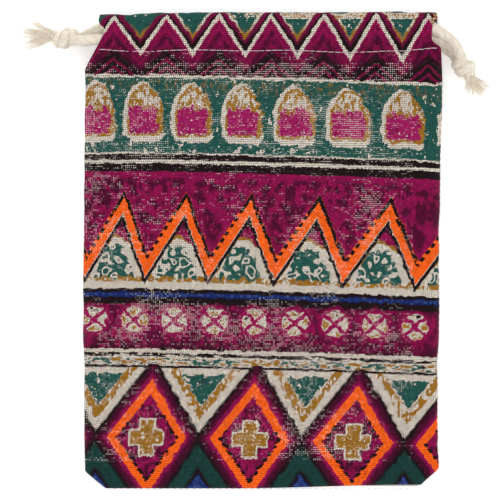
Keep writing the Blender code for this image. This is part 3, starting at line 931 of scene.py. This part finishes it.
def make_cloth(name, front, materials):
    """One cloth from the bottom seam up the face, over the mouth's fold and down inside."""
    steps = side_steps(CLOTH_WIDTH)
    columns = 2 * steps - 1
    near = steps[:8] * CLOTH_WIDTH
    upper = np.linspace(near[-1] - HALF_LENGTH, FOLD_Y, round((FOLD_Y + HALF_LENGTH) / CLOTH_CELL))
    body_ys = np.concatenate((near[:-1] - HALF_LENGTH, upper))
    share, y = np.meshgrid(columns, body_ys)
    surface = front_surface if front else back_surface
    body = np.stack(surface(share, y), axis=-1)
    if front:
        body = body + slack_moves(columns, body_ys)
    line = hem_line(front)
    hem_share, hem_y = np.meshgrid(columns, [y for y, z, s in line])
    hem_x = place_across(hem_share, np.maximum(hem_y, SLIT_TOP_Y), front)
    hem_z = np.repeat(np.array([z for y, z, s in line])[:, None], len(columns), axis=1)
    wave = 0.00035 * lumps(hem_x, 0 * hem_x, 0.013, 11 if front else 12)
    wave = wave + 0.00018 * lumps(hem_x, 0 * hem_x, 0.0045, 13 if front else 14)
    reach = ease(FOLD_Y - 0.002, HALF_LENGTH, hem_y)
    rise = 0.0 if front else 0.0005
    hem_y = settled(hem_x, hem_y) + (wave + rise) * reach
    hem = np.stack((hem_x, hem_y, hem_z), axis=-1)
    points = np.concatenate((body, hem))
    rows = len(points)
    # The inner leg stops short of the places where the cords cross inside.
    keep = np.ones((rows - 1, len(columns) - 1), dtype=bool)
    first_inner = len(body_ys) + FOLD_STEPS - 1
    middle_x = (hem_x[-1, 1:] + hem_x[-1, :-1]) / 2
    keep[first_inner:, :] = (middle_x > HEM_LEFT_END) & (middle_x < HEM_RIGHT_END)
    faces = grid_faces(rows, len(columns), keep)
    if not front:
        faces = [tuple(reversed(f)) for f in faces]
    along = np.concatenate((body_ys, [FOLD_Y + s for y, z, s in line]))
    u = points[..., 0] if front else 2 * LEFT_FOLD_X - points[..., 0]
    u = np.concatenate((u[: len(body_ys)], np.repeat(u[len(body_ys) - 1][None], len(line), 0)))
    v = np.repeat(along[:, None], len(columns), axis=1)
    double = (points[..., 0] > SIDE_ALLOWANCE_X) | (points[..., 1] < BOTTOM_ALLOWANCE_Y)
    double = double | (v > STITCH_Y)
    flat = np.stack((u * 1000, v * 1000, 1.0 + double), axis=-1)
    piece = add_mesh(name, points.reshape(-1, 3), faces, materials)
    set_vectors(piece, "flat_cloth", flat.reshape(-1, 3))
    solidify = piece.modifiers.new("cloth", "SOLIDIFY")
    solidify.thickness = CLOTH
    solidify.offset = -1.0
    solidify.material_offset = 1
    apply_modifiers(piece)
    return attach(piece, "pouch")


def make_threads(name, material, stitches, radius):
    """Short stitches of thread, each a start, an end and how its middle lifts between them."""
    points = []
    faces = []
    for start, end, lift in stitches:
        start, end, lift = Vector(start), Vector(end), Vector(lift)
        top = lift.normalized()
        side = (end - start).normalized().cross(lift).normalized()
        faces += [face[::-1] for face in tube_faces(len(points), STITCH_RINGS, STITCH_SIDES)]
        for i in range(STITCH_RINGS):
            t = i / (STITCH_RINGS - 1)
            centre = start.lerp(end, t) + lift * (4 * t * (1 - t)) ** 0.5
            turn_in = 0.75 + 0.25 * math.sin(math.pi * t)
            for k in range(STITCH_SIDES):
                angle = 2 * math.pi * k / STITCH_SIDES
                ply = 1 + 0.16 * math.cos(2 * angle - 5.0 * math.pi * t)
                reach = radius * turn_in * ply
                across = side * (reach * math.cos(angle))
                points.append(centre + across + top * (reach * math.sin(angle)))
    piece = add_mesh(name, points, faces, material)
    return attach(piece, "pouch")


def make_casing_stitches(front, material, draw):
    """A lockstitch across the casing, seen as dashes on the face."""
    name, surface, out = (
        ("front_stitches", front_surface, 1) if front else ("back_stitches", back_surface, -1)
    )
    stitches = []
    x, end_x = CASING_STITCHES_X
    while x < end_x:
        step = 0.0024 + draw.uniform(-0.0002, 0.0002)
        drift = 0.00025 * math.sin(x * 160) + 0.0003 * math.sin(x * 60 + 2.5)
        corner = max(0.0, x - 0.052) * 0.11 + max(0.0, -0.045 - x) * 0.04
        y = STITCH_Y + 0.0002 + drift + corner
        share = 2 * (x - 0.0017) / 0.1295
        z = float(surface(np.array([share]), np.array([y]))[2][0]) - 0.00012 * out
        end = (x + step + 0.00010, y + draw.uniform(-0.0001, 0.0001), z)
        stitches.append(((x, y, z), end, (0, 0, 0.00034 * out)))
        x += step
    return make_threads(name, material, stitches, CASING_THREAD_RADIUS)


def make_seam_stitches(material, draw):
    """Ladder stitches deep in the sewn right side and bottom edges."""
    stitches = []
    y, end_y = SIDE_STITCHES_Y
    while y < end_y:
        x = float(place_across(np.array([1.0]), np.array([y]))[0]) - 0.00015
        z = edge_height(y, 1) / 2
        stitches.append(((x, y, z), (x, y + 0.0014, z), (0.00026, 0, 0)))
        y += 0.0025 + draw.uniform(-0.0002, 0.0002)
    x, end_x = BOTTOM_STITCHES_X
    y = -HALF_LENGTH + 0.00015
    z = SEAM_EDGE_HEIGHT / 2
    while x < end_x:
        stitches.append(((x, y, z), (x + 0.0014, y, z), (0, -0.00026, 0)))
        x += 0.0025 + draw.uniform(-0.0002, 0.0002)
    return make_threads("seam_stitches", material, stitches, SEAM_THREAD_RADIUS)


def make_allowance(name, node, along_y, material):
    """The strip of turned-in cloth along a seam: two frayed layers, one on the other."""
    low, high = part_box(node)
    points = []
    for layer, share in enumerate((0.04, 0.46, 0.54, 0.96)):
        z = low.z + (high.z - low.z) * share
        for i in range(ALLOWANCE_COLUMNS + 1):
            t = i / ALLOWANCE_COLUMNS
            along = low.y + (high.y - low.y) * t if along_y else low.x + (high.x - low.x) * t
            fray = 0.0004 * noise.noise(Vector((along * 900, layer, 0 if along_y else 1)))
            for j in range(ALLOWANCE_ROWS + 1):
                w = j / ALLOWANCE_ROWS
                if along_y:
                    x, y = high.x + (low.x - high.x + fray) * w, along
                else:
                    x, y = along, low.y + (high.y - low.y + fray) * w
                wave = 0.00003 * noise.noise(Vector((x * 300, y * 300, layer)))
                points.append((x, y, z + wave))
    faces = []
    row = ALLOWANCE_ROWS + 1
    size = (ALLOWANCE_COLUMNS + 1) * row
    rim = list(range(row))
    rim += [i * row + ALLOWANCE_ROWS for i in range(1, ALLOWANCE_COLUMNS + 1)]
    rim += [ALLOWANCE_COLUMNS * row + j for j in reversed(range(ALLOWANCE_ROWS))]
    rim += [i * row for i in reversed(range(1, ALLOWANCE_COLUMNS))]
    for bottom in (0, 2 * size):
        top = bottom + size
        for quad in grid_faces(ALLOWANCE_COLUMNS + 1, row):
            a, b, c, d = quad
            faces.append((bottom + a, bottom + d, bottom + c, bottom + b))
            faces.append((top + b, top + c, top + d, top + a))
        for a, b in zip(rim, rim[1:] + rim[:1]):
            faces.append((bottom + a, bottom + b, top + b, top + a))
    piece = add_mesh(name, points, faces, material)
    set_vectors(piece, "flat_cloth", [(x * 1000, y * 1000, 2.0) for x, y, z in points])
    build = bmesh.new()
    build.from_mesh(piece.data)
    bmesh.ops.recalc_face_normals(build, faces=build.faces)
    build.to_mesh(piece.data)
    build.free()
    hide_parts(node)
    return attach(piece, "pouch")


# --- Cords, knots and frayed ends ---


def curve_through(points, step):
    """Points about one step apart on a smooth curve through the given ones."""
    knots = [Vector(p) for p in points]
    knots = [2 * knots[0] - knots[1]] + knots + [2 * knots[-1] - knots[-2]]
    path = [knots[1]]
    for before, start, end, after in zip(knots, knots[1:], knots[2:], knots[3:]):
        reach = (end - start).length
        count = max(1, round(reach / step))
        leave = (end - before).normalized() * reach
        arrive = (after - start).normalized() * reach
        for i in range(1, count + 1):
            t = i / count
            path.append(
                start * (2 * t**3 - 3 * t**2 + 1)
                + leave * (t**3 - 2 * t**2 + t)
                + end * (3 * t**2 - 2 * t**3)
                + arrive * (t**3 - t**2)
            )
    return path


def casing_route(start, front_xs, lanes, last_x, end):
    """A drawcord's way in through the front casing, round its bight and out at the back."""
    front_y, back_y = lanes
    run_end = front_xs[-1]
    inward = math.copysign(1.0, run_end)
    rise = math.copysign(0.0008, back_y - front_y)
    bight = (
        (run_end + 0.0041 * inward, front_y + rise, 0.0116),
        (run_end + 0.0058 * inward, 0.0828, 0.0080),
        (run_end + 0.0041 * inward, back_y - rise, 0.0044),
    )
    front = tuple((x, front_y, FRONT_LANE_Z) for x in front_xs)
    back = tuple((x, back_y, BACK_LANE_Z) for x in (*reversed(front_xs[1:]), last_x))
    return (start, *front, *bight, *back, end)


def cord_path(cord):
    """A cord's path from inside its knot, round the pouch's mouth and back."""
    first, last = cord["ends"]
    loop = casing_route(*cord["route"])
    points = (first, *cord["front_tail"], *loop, *cord["back_tail"], last)
    return curve_through(points, ROPE_STEP)


def frames_along(path):
    """(point, side, up, distance) along the path, without twist."""
    frames = []
    side = Vector((0, 0, 1)).cross(path[1] - path[0]).normalized()
    distance = 0.0
    for index, point in enumerate(path):
        ahead = path[min(index + 1, len(path) - 1)]
        behind = path[max(index - 1, 0)]
        along = (ahead - behind).normalized()
        side = (side - along * side.dot(along)).normalized()
        if index:
            distance += (point - path[index - 1]).length
        frames.append((point, side, along.cross(side), distance))
    return frames


def any_vector(draw, reach):
    return Vector([draw.uniform(-reach, reach) for _ in range(3)])


def flat_axes(degrees):
    """The unit vector that heads that way in the ground plane, and the one to its left."""
    along = Vector((math.cos(math.radians(degrees)), math.sin(math.radians(degrees)), 0.0))
    return along, Vector((-along.y, along.x, 0.0))


class Strands:
    """Ropes and fibres gathered into one mesh, with the lay that their material reads."""

    def __init__(self):
        self.points = []
        self.faces = []
        self.lay = []

    def add_rope(self, path, radius, depth=0.07, taper=None):
        """Twisted strands along a path, with grooves of a depth that is a share of the radius."""
        frames = frames_along(path)
        total = frames[-1][3]
        self.faces += tube_faces(len(self.points), len(frames), ROPE_SIDES)
        for centre, side, up, distance in frames:
            size = radius * (taper(distance / total) if taper else 1.0)
            for k in range(ROPE_SIDES):
                angle = 2 * math.pi * k / ROPE_SIDES
                cosine, sine = math.cos(angle), math.sin(angle)
                phase = ROPE_STRANDS * (angle / 2 - math.pi * distance / LAY_PITCH)
                groove = 1 - abs(math.cos(phase)) ** 0.8
                uneven = noise.noise(Vector((distance * 260, 3 * cosine, 3 * sine)))
                reach = size * (1 - depth * groove + 0.05 * uneven)
                self.points.append(centre + side * (reach * cosine) + up * (reach * sine))
                self.lay.append((angle, distance * 1000, groove))

    def add_fibre(self, path, radius):
        """A tapered cotton fibre, as thin as a mesh can be and still show."""
        frames = frames_along(path)
        total = frames[-1][3]
        self.faces += tube_faces(len(self.points), len(frames), 3)
        for centre, side, up, distance in frames:
            size = radius * (1 - 0.7 * distance / total)
            for k in range(3):
                angle = 2 * math.pi * k / 3
                across = side * (size * math.cos(angle))
                self.points.append(centre + across + up * (size * math.sin(angle)))
                self.lay.append((0.0, 0.0, 0.0))

    def add_fuzz(self, draw, count, where=None):
        """Loose fibre ends that stand off the ropes added so far."""
        around = [Vector(p) for p in self.points]
        for _ in range(count):
            index = draw.randrange(len(around) - ROPE_SIDES)
            start = around[index]
            if where and not where(start):
                continue
            ring = index // ROPE_SIDES * ROPE_SIDES
            opposite = around[ring + (index - ring + ROPE_SIDES // 2) % ROPE_SIDES]
            out = (start - opposite).normalized()
            drift = any_vector(draw, 1)
            length = draw.uniform(0.0005, 0.0019)
            path = [start - out * 0.0001]
            heading = (out * 0.7 + drift * 0.8).normalized()
            for _ in range(3):
                heading = (heading + any_vector(draw, 0.6)).normalized()
                spot = path[-1] + heading * (length / 3)
                spot.z = max(spot.z, 0.0003)
                path.append(spot)
            self.add_fibre(path, 0.000032)

    def finish(self, name, material):
        piece = add_mesh(name, self.points, self.faces, material)
        set_vectors(piece, "rope_lay", self.lay)
        return piece


def make_drawcord(side, path, material, draw):
    """The whole loop of a drawcord, from its knot through both casings and back."""
    sign = CORDS[side]["sign"]
    strands = Strands()
    strands.add_rope(path, ROPE_RADIUS)
    strands.add_fuzz(draw, ROPE_FUZZ, where=lambda p: p.x * sign > FUZZ_FROM_X)
    return strands.finish(side + "_rope", material)


def make_knot(side, material, draw):
    """An overhand knot pulled tight: the doubled cord wound round itself."""
    centre, heading, turns, half_length = CORDS[side]["knot"]
    centre = Vector(centre)
    along, across = flat_axes(heading)
    path = []
    for i in range(KNOT_RINGS + 1):
        t = i / KNOT_RINGS
        angle = 2 * math.pi * turns * t + 0.6
        reach = KNOT_REACH * min(1.0, math.sin(math.pi * t) * 2.2) ** 0.7
        shift = -half_length + 2 * half_length * t + 0.0008 * math.cos(angle)
        spot = centre + along * shift + across * (reach * math.cos(angle))
        spot.z += 0.93 * reach * math.sin(angle)
        path.append(spot)
    strands = Strands()
    strands.add_rope(path, KNOT_CORD_RADIUS, depth=0.05)
    # The cord's own ends run through the middle, out past the wraps at both sides.
    back = centre - along * (half_length + 0.0012)
    front = centre + along * (half_length + 0.0014)
    strands.add_rope(curve_through((back, centre, front), 0.0007), ROPE_RADIUS)
    strands.add_fuzz(draw, KNOT_FUZZ)
    piece = strands.finish(side + "_knot_wraps", material)
    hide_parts(side + "_knot")
    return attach(piece, side + "_tail")


def make_tassel(side, material, draw):
    """The cord's end past the knot, with its strands opened into a brush of fibres."""
    root = Vector(CORDS[side]["tassel"])
    strands = Strands()
    for heading, spread, length, share in CORDS[side]["clumps"]:
        along, across = flat_axes(heading)
        stub_end = root + along * (0.30 * length)
        stub_end.z = root.z * 0.7
        stub = curve_through([root - along * 0.0015, stub_end], ROPE_STEP)
        thick = 0.0019 * share**0.5
        strands.add_rope(stub, thick, depth=0.2, taper=lambda t: 1.0 - 0.55 * t**1.5)
        strands.add_fuzz(draw, round(CLUMP_FUZZ * share))
        bundles = round(TASSEL_BUNDLES * share)
        for bundle in range(bundles):
            fan = 2 * (bundle + 0.5) / bundles - 1
            lean = math.tan(math.radians(1.7 * spread * fan + draw.gauss(0, 0.25 * spread)))
            reach = length * draw.uniform(0.72, 1.08) * (1 - 0.3 * fan * fan)
            out = thick * 0.75 * fan
            lift = draw.uniform(-0.6, 0.6) * thick
            tip_z = draw.uniform(0.0004, 0.0036)
            curl = draw.uniform(-1, 1) * 0.0006
            turn = draw.uniform(0, 2 * math.pi)
            for _ in range(BUNDLE_FIBRES):
                loose = draw.random() < 0.2
                start = root + across * (out + draw.gauss(0, BUNDLE_REACH))
                start.z += lift + draw.gauss(0, BUNDLE_REACH)
                stray = draw.gauss(0, 0.13 if loose else 0.022)
                own = reach * (draw.uniform(0.4, 1.1) if loose else draw.uniform(0.8, 1.05))
                path = []
                for step in range(8):
                    t = step / 7
                    spot = start + along * (own * t)
                    sideways = own * (lean + stray) * t**1.4 + curl * math.sin(3.5 * t + turn) * t
                    gather = across * ((out - (start - root).dot(across)) * 0.7 * t)
                    spot += across * sideways + gather
                    spot.z += (tip_z - start.z) * t**1.2
                    spot += any_vector(draw, 0.00005)
                    spot.z = max(spot.z, 0.0001)
                    path.append(spot)
                strands.add_fibre(path, draw.uniform(0.00005, 0.00008))
    piece = strands.finish(side + "_frayed_end", material)
    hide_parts(side + "_tassel")
    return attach(piece, side + "_tail")


def cotton_material():
    """Soft cream cotton, with fine fibres along it: painted shade darkens the strands in their
    grooves, and a painted glow lightens the whole rope.
    """
    material, tree, shader = new_material("cotton_rope")
    _, angle, along, groove = stored_vector(tree, "rope_lay")
    turned = angle - along * 0.55
    around = (turned.math("COSINE") * 7.0, turned.math("SINE") * 7.0, along * 0.45)
    fibre = noise_value(tree, vector_of(tree, *around), 1.0, 1.0, detail=4.0)
    cloud = noise_value(tree, on_object(tree), 260.0, 2.0, detail=2.0)
    fine = noise_value(tree, on_object(tree), 1700.0, 3.0)
    tint = (cloud * 0.35 + fibre * 0.30 + 0.5).clamped()
    colour = mixed(tree, tint, ink(238, 224, 202), ink(253, 246, 234))
    colour = mixed(tree, fine.faded(0.0, 0.6) * 0.5, colour, ink(190, 174, 150))
    # Painted shade: the strands are darker in the grooves between them, where shade falls.
    colour = mixed(tree, groove.math("POWER", 2.0) * 0.3, colour, ink(190, 172, 142))
    relief = fibre * 0.7 + fine * 0.5 + groove * -0.4
    even = {"Sheen Weight": 0.35, "Sheen Roughness": 0.45, "Specular IOR Level": 0.15}
    # Painted light: a faint emission of the cotton's own colour makes the rope glow, standing in
    # for light that comes through the loose fibres from behind.
    even["Emission Strength"] = 0.13
    tree.links.new(colour, shader.inputs["Emission Color"])
    finish_surface(tree, shader, colour, relief, 0.8, 0.0004, cloud * 0.05 + 0.92, even)
    return material


def thread_material():
    material, tree, shader = new_material("sewing_thread_twist")
    twist = noise_value(tree, on_object(tree), 3200.0, 1.0, detail=2.0)
    tint = (twist * 0.5 + 0.5).clamped()
    colour = mixed(tree, tint, ink(205, 186, 188), ink(236, 224, 222))
    even = {"Sheen Weight": 0.2}
    finish_surface(tree, shader, colour, twist, 0.4, 0.00006, twist * 0.08 + 0.62, even)
    return material


# --- Studio ---


def make_studio():
    material, tree, shader = new_material("floor_paper")
    grain = noise_value(tree, on_object(tree), 900.0, 1.0, detail=3.0)
    tint = (grain * 0.5 + 0.5).clamped()
    colour = mixed(tree, tint, (0.94, 0.94, 0.94, 1.0), (0.96, 0.96, 0.96, 1.0))
    tree.links.new(colour, shader.inputs["Base Color"])
    set_inputs(shader, {"Roughness": 0.9, "Specular IOR Level": 0.0})
    set_inputs(shader, {"Emission Color": WHITE, "Emission Strength": FLOOR_GLOW})
    corners = ((-1, -1), (1, -1), (1, 1), (-1, 1))
    points = [(x * FLOOR_REACH, y * FLOOR_REACH, -0.0001) for x, y in corners]
    add_mesh("floor", points, [(0, 1, 2, 3)], material)

    world = bpy.data.worlds.new("studio")
    world.use_nodes = True
    background = world.node_tree.nodes["Background"]
    set_inputs(background, {"Color": WHITE, "Strength": WORLD_STRENGTH})
    bpy.context.scene.world = world
    for name, place, size, power in LIGHTS:
        data = bpy.data.lights.new(name, "AREA")
        data.shape = "SQUARE"
        data.size = size
        data.energy = power
        light = bpy.data.objects.new(name, data)
        bpy.context.scene.collection.objects.link(light)
        light.location = place
        light.rotation_euler = (-Vector(place)).to_track_quat("-Z", "Y").to_euler()


def make_camera():
    data = bpy.data.cameras.new("camera")
    data.sensor_width = 36.0
    data.lens = data.sensor_width * CAMERA_DISTANCE / VIEW_WIDTH
    data.clip_end = 10.0
    camera = bpy.data.objects.new("camera", data)
    camera.location = (*VIEW_CENTRE, VIEW_PLANE_Z + CAMERA_DISTANCE)
    bpy.context.scene.collection.objects.link(camera)
    bpy.context.scene.camera = camera
    bpy.context.scene.view_settings.view_transform = "Standard"


def main():
    make_camera()
    make_studio()
    cotton = cotton_material()
    thread = thread_material()
    draw = random.Random(7)

    paths = {side: cord_path(cord) for side, cord in CORDS.items()}
    ropes = {side: make_drawcord(side, paths[side], cotton, draw) for side in CORDS}
    knots = {side: make_knot(side, cotton, draw) for side in CORDS}
    ends = {side: make_tassel(side, cotton, draw) for side in CORDS}
    for side, cord in CORDS.items():
        rope = ropes[side]
        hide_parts(side + "_drawcord", side + "_tail_front", side + "_tail_back")
        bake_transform(rope)

    printed = printed_material("printed_cloth", 0.0)
    reverse = printed_material("cloth_reverse", 0.68)
    front = make_cloth("front_cloth", True, [printed, reverse])
    back = make_cloth("back_cloth", False, [printed, reverse])
    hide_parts("front_panel", "front_casing_hem")
    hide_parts("back_panel", "back_casing_hem")
    front_stitches = make_casing_stitches(True, thread, draw)
    back_stitches = make_casing_stitches(False, thread, draw)
    seam_stitches = make_seam_stitches(thread, draw)
    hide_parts("front_casing_stitch")
    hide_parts("back_casing_stitch")
    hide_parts("side_seam_stitch", "bottom_seam_stitch")
    make_allowance("side_allowance_layers", "side_seam_allowance", True, reverse)
    make_allowance("bottom_allowance_layers", "bottom_seam_allowance", False, reverse)


main()
